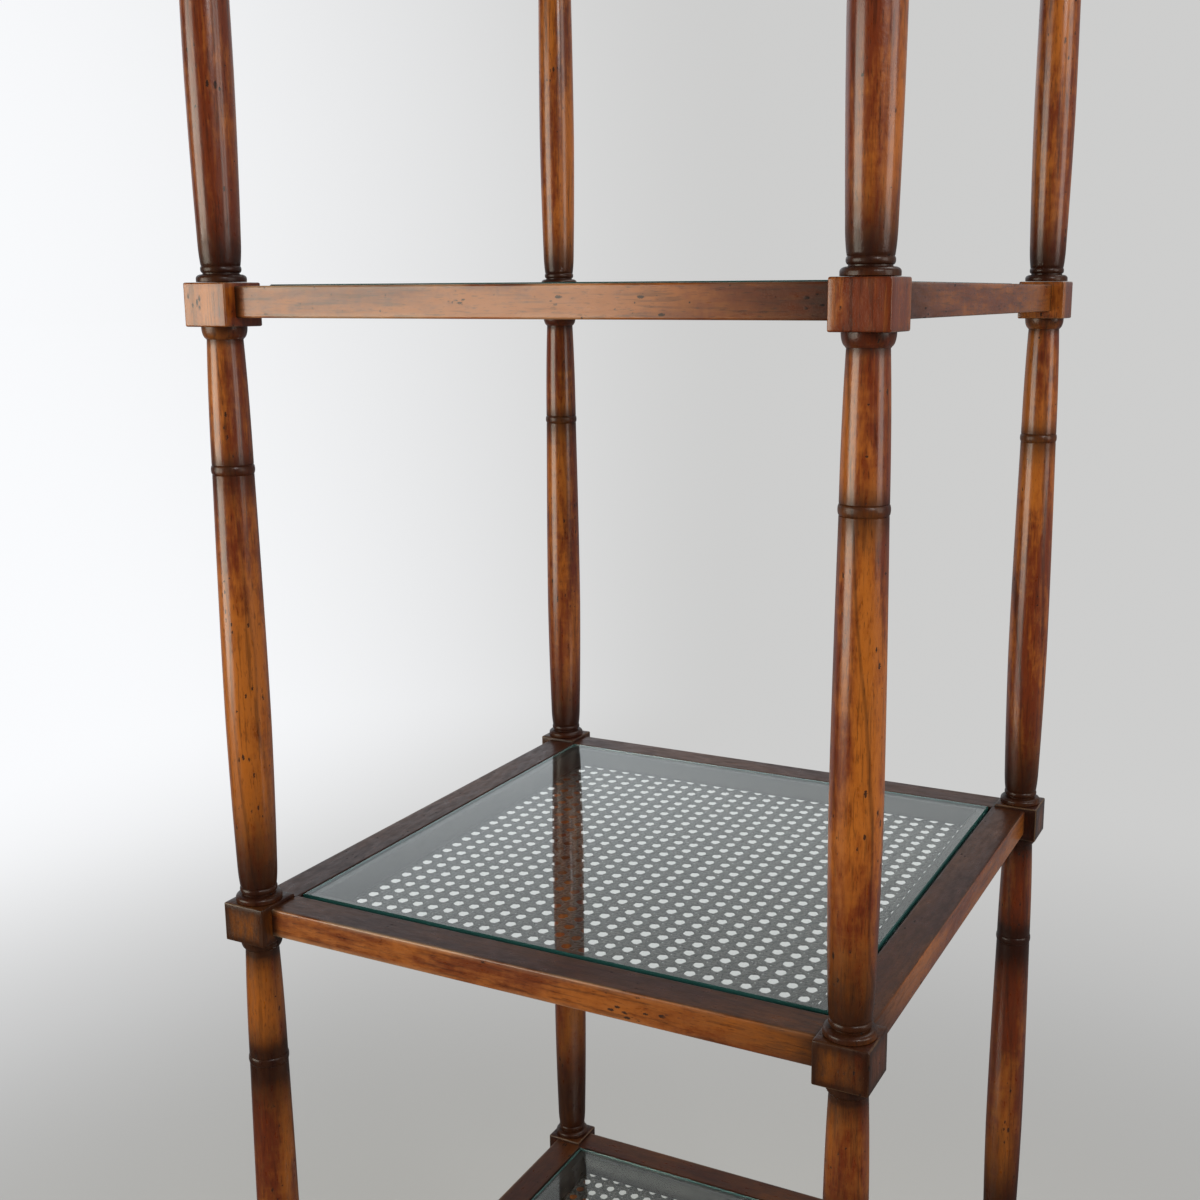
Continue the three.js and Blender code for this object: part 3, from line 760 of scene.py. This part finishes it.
def rail_solid(wear_and_highlight_at_ends, painted_shade_at_ends):
    """A rail along X on the front side, with the corners of its inner edge mitred where two rails meet."""
    half = rail_height / 2
    edge = [(math.cos(a), math.sin(a)) for a in np.linspace(0, quarter_turn, 5)]
    upper = [(rail_inner + rail_arris * (1 - c), half - rail_arris * (1 - s)) for c, s in edge]
    upper += [(v, half) for v in np.linspace(rail_inner, rail_outer, 10)[1:-1]]
    upper += [(rail_outer - rail_arris * (1 - c), half - rail_arris * (1 - s)) for c, s in edge[::-1]]
    upper += [(block_inner, half)]
    upper.sort()
    ring = upper + [(rail_outer, z) for z in np.linspace(half - rail_arris, rail_arris - half, 8)[1:-1]]
    ring += [(v, -z) for v, z in upper[::-1]]
    ring += [(rail_inner, z) for z in np.linspace(rail_arris - half, half - rail_arris, 8)[1:-1]]
    across = np.array(ring)
    reach = np.minimum(block_inner - seat_gap, across[:, 0] - seat_gap / 2)
    middle = np.linspace(-middle_reach, middle_reach, middle_stations)
    shares = np.concatenate([-end_stations[::-1], middle, end_stations])
    points = np.array([(share * end, -v, z) for share in shares for (v, z), end in zip(ring, reach)])
    count = len(ring)
    from_end = np.repeat((1 - np.abs(shares)) * block_inner, count)
    height = np.tile(across[:, 1], len(shares))
    place = np.tile(across[:, 0], len(shares))
    on_top = height > half - 0.1 * mm
    along = np.repeat(shares, count)
    # painted shade towards the ends, set for each end; the joints keep dark glaze
    glaze_and_shade = rail_glaze + np.interp(along, (-1, 1), painted_shade_at_ends) * np.exp(-from_end / rail_end_shadow)
    glaze_and_shade = np.maximum(glaze_and_shade, joint_glaze * np.exp(-(from_end / joint_shadow) ** joint_falloff))
    # painted shade on the top and on the inner face
    glaze_and_shade = np.maximum(glaze_and_shade, np.where(on_top, top_painted_shade, 0))
    glaze_and_shade = np.maximum(glaze_and_shade, np.where(place < rail_inner + rail_arris / 2, inner_painted_shade, 0))
    to_edge = half - np.abs(height) + (rail_outer - place)
    # wear along the outer arrises with a painted highlight, set for each end
    worn_and_highlight = np.interp(along, (-1, 1), wear_and_highlight_at_ends) * np.clip(1 - to_edge / wear_and_highlight_width, 0, 1)
    return points, skin(len(shares), count, flipped=True), glaze_and_shade, worn_and_highlight


# per side: wear with painted highlight at the two ends, then painted shade at the two ends
rails = {
    "front": rail_solid((1.0, 0.1), (0.02, 0.62)),
    "right": rail_solid((0.1, 0.1), (0.85, 0.35)),
    "back": rail_solid((0.5, 0.5), (0.2, 0.2)),
    "left": rail_solid((0.5, 0.5), (0.2, 0.2)),
}
for tier in range(1, tier_count + 1):
    for turn, (side, rail) in enumerate(rails.items()):
        node = f"rail_{tier}_{side}"
        low, high = box(node)
        piece = wooden_piece(f"bar_{node}", rail, (0, 0, (low.z + high.z) / 2), rail_mahogany,
                             grain_turn=[1, 2, 0], spin=turn * quarter_turn)
        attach(piece, "stand")
        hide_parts(node)

# The cane frames: a square of dark-stained wood inside the rails of each shelf, mitred at the corners and
# bevelled inside. It carries the glass on top, and a groove on its underside holds the cane.
frame_low, frame_high = box("cane_frame_1")
frame_outer = frame_high.x
frame_width, frame_thickness = 16.2 * mm, frame_high.z - frame_low.z
frame_bevel, bevel_depth = 7 * mm, 9 * mm
frame_inner = frame_outer - frame_width
groove_inset, groove_width, groove_depth = 6 * mm, 3.4 * mm, 4 * mm
frame_arris = 0.8 * mm
mitre_line = 0.05 * mm
frame_stations = 41
frame_glaze, mitre_glaze, mitre_shadow = 0.25, 0.6, 2 * mm
side_grain_shift, tier_grain_shift = 1.7, 2.3


def frame_solid():
    """The four mitred sides of a frame as one solid, and where the grain runs in each."""
    top, bottom = frame_thickness, 0
    groove_in = frame_inner + groove_inset
    groove_out = groove_in + groove_width
    outline = [
        (frame_inner, bottom + frame_arris),
        (frame_inner, top - bevel_depth),
        (frame_inner + frame_bevel, top),
        (frame_outer - frame_arris, top),
        (frame_outer, top - frame_arris),
        (frame_outer, bottom + frame_arris),
        (frame_outer - frame_arris, bottom),
        (groove_out, bottom),
        (groove_out, bottom + groove_depth),
        (groove_in, bottom + groove_depth),
        (groove_in, bottom),
        (frame_inner + frame_arris, bottom),
    ]
    shares = np.linspace(-1, 1, frame_stations)
    count = len(outline)
    points = np.array([(share * (v - mitre_line), -v, z) for share in shares for v, z in outline])
    from_end = np.repeat(1 - np.abs(shares), count) * frame_inner
    glaze_and_shade = frame_glaze + mitre_glaze * np.exp(-from_end / mitre_shadow)
    sides, grain = [], []
    for turn in range(4):
        spin = np.array(Matrix.Rotation(turn * quarter_turn, 3, "Z"))
        sides.append((points @ spin.T, skin(frame_stations, count), glaze_and_shade, np.zeros(len(points))))
        grain.append(points[:, [1, 2, 0]] + [0, 0, turn * side_grain_shift])
    return joined(*sides), np.concatenate(grain)


dark_mahogany = stained(
    "dark mahogany", dark=(0.008, 0.0065, 0.006), middle=(0.013, 0.0105, 0.0095), light=(0.02, 0.015, 0.013),
    rubbed_and_highlight=(0.05, 0.03, 0.018), coat=0.0, relief=0.05, layers=0.1)
frame_body, frame_grain = frame_solid()
for tier in range(1, tier_count + 1):
    node = f"cane_frame_{tier}"
    piece = wooden_piece(f"mitred_{node}", frame_body, (0, 0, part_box(node)[0][2]), dark_mahogany)
    shifted = frame_grain + tier * tier_grain_shift
    piece.data.attributes["grain"].data.foreach_set("vector", shifted.ravel())
    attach(piece, "stand")
    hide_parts(node)

# The cane: black-stained strands woven six ways in a half-inch mesh, pairs both ways and single strands on
# both diagonals. A round spline sits in the frame's groove above its edges.
cane_low, cane_high = box("cane_panel_1")
cane_level = cane_low.z + 0.7 * mm
hole_pitch = (12.85 * mm, 13.35 * mm)
hole_start = (-3.56 * mm, -6.92 * mm)
strand_width, strand_half_thickness = 3.0 * mm, 0.22 * mm
# a strand's six-sided section in shares of its width and of its half thickness
strand_section = np.array([(-0.5, 0), (-0.28, 1), (0.28, 1), (0.5, 0), (0.28, -1), (-0.28, -1)])
pair_offset = 1.57 * mm
diagonal_width = 2.5 * mm
weave_rise = 0.42 * mm
cane_reach = cane_high.x - 0.8 * mm
strand_drift, strand_waver = 0.16 * mm, 0.11 * mm
diagonal_rest = 2.6 * mm
pair_rise_share, diagonal_drift_share = 0.55, 0.6
spline_sides, spline_clearance, spline_rise = 10, 0.25 * mm, 1.6 * mm
weave_seed = 28
strand_grain_shift = 0.37
cane_black, cane_brown, cane_scuffed = (0.006, 0.0055, 0.005), (0.025, 0.020, 0.016), (0.07, 0.055, 0.042)


def ribbon(route, sideways, width):
    """A flat strand with a low crown along a route."""
    route = np.asarray(route)
    across, up = strand_section.T * [[width], [strand_half_thickness]]
    count = len(strand_section)
    rows = [point + np.outer(across, sideways) + np.outer(up, (0, 0, 1)) for point in route]
    length = np.linspace(0, math.dist(route[0], route[-1]), len(route))
    fibre = [np.tile(across, len(route)), np.tile(up, len(route)), np.repeat(length, count)]
    return np.concatenate(rows), skin(len(route), count, flipped=True), np.stack(fibre, axis=1)


def line_numbers(axis):
    """The pairs that run past an axis, counted in holes from the first hole, half a hole off its middle."""
    low = math.ceil((-cane_reach + 2 * pair_offset - hole_start[axis]) / hole_pitch[axis] - 0.5)
    high = math.floor((cane_reach - 2 * pair_offset - hole_start[axis]) / hole_pitch[axis] - 0.5)
    return [number + 0.5 for number in range(low, high + 1)]


def pair_strands(axis, chance):
    """The strands in pairs along one axis, over and under the pairs that cross them."""
    strands = []
    other = 1 - axis
    over = 1 if axis else -1
    crossings = []
    for number in line_numbers(axis):
        for side in (-1, 1):
            crossings.append((hole_start[axis] + number * hole_pitch[axis] + side * pair_offset, side))
        crossings.append((hole_start[axis] + (number + 0.5) * hole_pitch[axis], 0))
    for number in line_numbers(other):
        for side in (-1, 1):
            drift = chance.uniform(-strand_drift, strand_drift)
            place = hole_start[other] + number * hole_pitch[other] + side * pair_offset + drift
            route = [(-cane_reach, 0.0, 0.0)]
            for at, crossed in crossings:
                if at < cane_reach:
                    waver = chance.uniform(-strand_waver, strand_waver)
                    route.append((at, waver, over * crossed * side * weave_rise * pair_rise_share))
            route.append((cane_reach, 0.0, 0.0))
            points = np.array([(at, place + waver, level) for at, waver, level in route])
            sideways = (0, 1, 0) if axis == 0 else (1, 0, 0)
            strands.append(ribbon(points if axis == 0 else points[:, [1, 0, 2]], sideways, strand_width))
    return strands


def diagonal_strands(slope, chance):
    """The single strands that cross the mesh one way, through the middles of the sides between the holes."""
    strands = []
    along = np.array((hole_pitch[0], slope * hole_pitch[1], 0))
    length = np.linalg.norm(along)
    sideways = np.array((-along[1], along[0], 0)) / length
    far = math.ceil(2 * cane_reach / min(hole_pitch))
    for number in range(-far, far):
        start = np.array((hole_start[0], hole_start[1] + (number + 0.5) * hole_pitch[1], 0))
        spans = []
        for axis in (0, 1):
            spans.append(sorted((end - start[axis]) / along[axis] for end in (-cane_reach, cane_reach)))
        low, high = max(span[0] for span in spans), min(span[1] for span in spans)
        if (high - low) * length < 3 * diagonal_rest:
            continue
        drift = chance.uniform(-strand_drift, strand_drift) * diagonal_drift_share
        route = [start + along * low]
        for knot in np.arange(math.ceil(low * 2) / 2, high, 0.5):
            level = (1 if round(knot * 2) % 2 else -1) * slope * weave_rise
            for shift in (-diagonal_rest, diagonal_rest):
                at = knot + shift / length
                if low < at < high:
                    waver = drift + chance.uniform(-strand_waver, strand_waver) * diagonal_drift_share
                    route.append(start + along * at + sideways * waver + (0, 0, level))
        route.append(start + along * high)
        strands.append(ribbon(route, sideways, diagonal_width))
    return strands


def spline_ring():
    """The round spline that wedges the cane in its groove, with mitred corners."""
    middle = frame_inner + groove_inset + groove_width / 2
    radius = groove_width / 2 - spline_clearance
    turns = np.linspace(0, 2 * math.pi, spline_sides + 1)[:-1]
    section = [(middle + radius * math.cos(a), radius * math.sin(a)) for a in turns]
    points, faces = [], []
    for turn_x, turn_y in square:
        points += [(turn_x * v, turn_y * v, z + spline_rise) for v, z in section]
    count = len(section)
    for side in range(4):
        a, b = side * count, ((side + 1) % 4) * count
        for i in range(count):
            j = (i + 1) % count
            faces.append((a + i, a + j, b + j, b + i))
    points = np.array(points)
    return points, faces, points


def cane_mesh():
    """One panel of the weave with its spline, which keeps how each strand's fibres run."""
    chance = np.random.default_rng(weave_seed)
    parts = pair_strands(0, chance) + pair_strands(1, chance)
    parts += diagonal_strands(1, chance) + diagonal_strands(-1, chance) + [spline_ring()]
    points, faces, fibres, start = [], [], [], 0
    for number, (vertices, loops, fibre) in enumerate(parts):
        points.append(vertices)
        faces += [tuple(start + corner for corner in loop) for loop in loops]
        fibres.append(fibre + (0, 0, number * strand_grain_shift))
        start += len(vertices)
    mesh = bpy.data.meshes.new("woven cane")
    mesh.from_pydata(np.concatenate(points).tolist(), [], faces)
    kept = mesh.attributes.new("fibre", "FLOAT_VECTOR", "POINT")
    kept.data.foreach_set("vector", np.concatenate(fibres).ravel())
    mesh.shade_smooth()
    return mesh


black_cane, tree, surface = new_material("black cane")
fibre = add(tree, "ShaderNodeAttribute", attribute_name="fibre").outputs["Vector"]
lengthways = noise(tree, sized(tree, fibre, (1, 1, 0.03)), 2600, 2, 0.6)
tone = noise(tree, sized(tree, fibre, (0.2, 0.2, 1)), 40, 3, 0.6)
cane_colour = mixed(tree, between(tree, tone, 0.35, 0.68), cane_black, cane_brown)
cane_colour = mixed(tree, between(tree, lengthways, 0.55, 0.75, 0.0, 0.5), cane_colour, cane_scuffed)
tree.links.new(cane_colour, surface.inputs["Base Color"])
tree.links.new(between(tree, lengthways, 0.3, 0.7, 0.34, 0.5), surface.inputs["Roughness"])
bumped(tree, surface, lengthways, 0.5, 0.1 * mm)

woven = cane_mesh()
woven.materials.append(black_cane)
for tier in range(1, tier_count + 1):
    node = f"cane_panel_{tier}"
    piece = in_scene(f"woven_{node}", woven)
    piece.location = (0, 0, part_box(node)[0][2] + cane_level - cane_low.z)
    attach(piece, "stand")
    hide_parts(node)

# The glass: a loose pane on each cane frame, a millimetre proud of the rails, with ground edges.
# It is clear float glass, faintly green, and dark green at its edges, where one looks along it.
glass_low, glass_high = box("glass_1")
glass_half, glass_thickness = glass_high.x, glass_high.z - glass_low.z
glass_arris = 0.6 * mm
glass_tint, glass_shadow = (0.975, 1.0, 0.99), (0.86, 0.92, 0.9)
glass_depth_colour, glass_depth_density = (0.42, 0.86, 0.76), 4.0
edge_dark, edge_pale = (0.010, 0.055, 0.048), (0.026, 0.11, 0.10)
glass_refraction = 1.52

clear_glass, tree, surface = new_material("clear glass")
surface.inputs["Base Color"].default_value = (*glass_tint, 1)
surface.inputs["IOR"].default_value = glass_refraction
surface.inputs["Transmission Weight"].default_value = 1.0
wipes = noise(tree, add(tree, "ShaderNodeTexCoord").outputs["Object"], 14, 4, 0.6, 0.8)
tree.links.new(between(tree, wipes, 0.45, 0.8, 0.0, 0.03), surface.inputs["Roughness"])
shadow = add(tree, "ShaderNodeLightPath").outputs["Is Shadow Ray"]
passing = add(tree, "ShaderNodeBsdfTransparent", glass_shadow)
whole = add(tree, "ShaderNodeMixShader", shadow, surface.outputs[0], passing.outputs[0])
absorbed = add(tree, "ShaderNodeVolumeAbsorption", glass_depth_colour, glass_depth_density)
out = tree.nodes["Material Output"]
tree.links.new(whole.outputs[0], out.inputs["Surface"])
tree.links.new(absorbed.outputs[0], out.inputs["Volume"])

green_edge, tree, surface = new_material("green glass edge")
along_edge = sized(tree, add(tree, "ShaderNodeTexCoord").outputs["Object"], (0.1, 0.1, 1))
ground_lines = noise(tree, along_edge, 900, 2, 0.6)
tree.links.new(mixed(tree, ground_lines, edge_dark, edge_pale), surface.inputs["Base Color"])
surface.inputs["Roughness"].default_value = 0.22
surface.inputs["IOR"].default_value = glass_refraction
surface.inputs["Transmission Weight"].default_value = 0.35


def glass_mesh():
    """The pane with its edges ground to a small flat at 45 degrees."""
    levels = [
        (0, glass_half - glass_arris),
        (glass_arris, glass_half),
        (glass_thickness - glass_arris, glass_half),
        (glass_thickness, glass_half - glass_arris),
    ]
    points = [(x * half, y * half, z) for z, half in levels for x, y in square]
    mesh = bpy.data.meshes.new("glass pane")
    mesh.from_pydata(points, [], skin(len(levels), len(square)))
    mesh.materials.append(clear_glass)
    mesh.materials.append(green_edge)
    for face in mesh.polygons[:-2]:
        face.material_index = 1
    return mesh


pane = glass_mesh()
for tier in range(1, tier_count + 1):
    node = f"glass_{tier}"
    piece = in_scene(f"loose_{node}", pane)
    piece.location = (0, 0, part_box(node)[0][2])
    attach(piece, f"glass_pane_{tier}")
    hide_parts(node)
